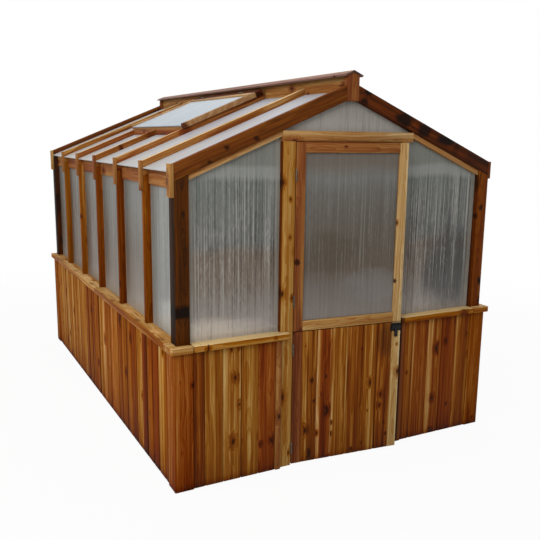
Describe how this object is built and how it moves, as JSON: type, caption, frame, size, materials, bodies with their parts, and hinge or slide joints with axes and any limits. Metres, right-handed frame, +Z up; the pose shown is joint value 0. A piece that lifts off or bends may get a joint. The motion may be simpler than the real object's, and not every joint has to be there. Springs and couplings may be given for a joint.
{
  "type": "garden greenhouse",
  "caption": "Gable-roofed cedar greenhouse with a boarded knee wall, translucent twin-wall panels, an outward stable door and a hinged roof vent.",
  "frame": {"origin": "on the ground at the middle of the plan", "axes": "+X to the right when facing the door gable, +Y from the door gable to the rear gable, +Z up"},
  "size_m": [2.488, 3.749, 2.558],
  "materials": {
    "cedar_boards": "oiled",
    "cedar_trim": "oiled",
    "cedar_sills": "oiled",
    "cedar_dark": "stained",
    "cedar_frame": "oiled",
    "cedar_joinery": "oiled",
    "polycarbonate": "translucent twin-wall",
    "zinc_steel": "zinc plated",
    "black_steel": "black powder coat"
  },
  "bodies": {
    "frame": {"base_rails": "cedar_frame", "corner_boards": "cedar_trim", "corner_caps": "cedar_sills", "corner_posts": "cedar_dark", "door_header": "cedar_trim", "door_jambs": "cedar_trim", "door_stops": "cedar_frame", "door_threshold": "cedar_frame", "eave_rails": "cedar_frame", "front_boards": "cedar_boards", "front_panels": "polycarbonate", "front_sills": "cedar_sills", "gable_pane": "polycarbonate", "gable_rafters": "cedar_dark", "gable_stops": "cedar_trim", "hinge_fixed_leaves": "zinc_steel", "hinge_pins": "zinc_steel", "jamb_trims": "cedar_trim", "king_posts": "cedar_frame", "knee_studs": "cedar_frame", "knee_top_rails": "cedar_frame", "rafter_end_caps": "cedar_frame", "rafters": "cedar_frame", "rear_boards": "cedar_boards", "rear_panels": "polycarbonate", "rear_sill": "cedar_sills", "rear_studs": "cedar_frame", "ridge_beam": "cedar_frame", "ridge_caps": "cedar_frame", "ridge_end_blocks": "cedar_frame", "roof_battens": "cedar_frame", "roof_panels": "polycarbonate", "side_boards": "cedar_boards", "side_sills": "cedar_sills", "side_studs": "cedar_frame", "vent_head": "cedar_frame", "vent_trimmers": "cedar_frame", "wall_battens": "cedar_frame", "wall_panels": "polycarbonate"},
    "upper_door": {"upper_door_stiles": "cedar_joinery", "upper_door_rails": "cedar_joinery", "upper_door_pane": "polycarbonate", "upper_door_beads": "cedar_joinery", "upper_door_hinge_leaves": "zinc_steel", "bolt_keeper": "zinc_steel"},
    "lower_door": {"lower_door_stiles": "cedar_joinery", "lower_door_rails": "cedar_joinery", "lower_door_boards": "cedar_boards", "lower_door_hinge_leaves": "zinc_steel", "latch_plate": "black_steel", "bolt_barrel": "zinc_steel"},
    "latch": {"latch_handle": "black_steel"},
    "leaf_bolt": {"bolt_rod": "zinc_steel"},
    "vent": {"vent_frame": "cedar_joinery", "vent_pane": "polycarbonate", "vent_hinge_leaves": "zinc_steel", "vent_prop_pin": "zinc_steel"},
    "prop": {"vent_prop": "zinc_steel"}
  },
  "joints": [
    {"name": "upper_door_hinge", "type": "hinge", "parent": "frame", "child": "upper_door", "pos_m": [-0.404, -1.8095, 1.516], "axis": [0, 0, -1], "range_deg": [-5.5, 104.5]},
    {"name": "lower_door_hinge", "type": "hinge", "parent": "frame", "child": "lower_door", "pos_m": [-0.404, -1.8095, 0.46], "axis": [0, 0, -1], "range_deg": [-5.5, 104.5]},
    {"name": "latch_turn", "type": "hinge", "parent": "lower_door", "child": "latch", "pos_m": [0.3595, -1.87749, 0.881], "axis": [-0.0958, -0.9954, 0], "range_deg": [0, 90]},
    {"name": "leaf_bolt_slide", "type": "slide", "parent": "lower_door", "child": "leaf_bolt", "axis": [0, 0, 1], "range_m": [0, 0.034]},
    {"name": "vent_hinge", "type": "hinge", "parent": "frame", "child": "vent", "pos_m": [-0.11411, 0, 2.48458], "axis": [0, 1, 0], "range_deg": [0, 45]},
    {"name": "vent_prop_pivot", "type": "hinge", "parent": "vent", "child": "prop", "pos_m": [-0.65942, -0.25, 2.22161], "axis": [-0.9231, 0, -0.3846], "range_deg": [0, 90]}
  ]
}
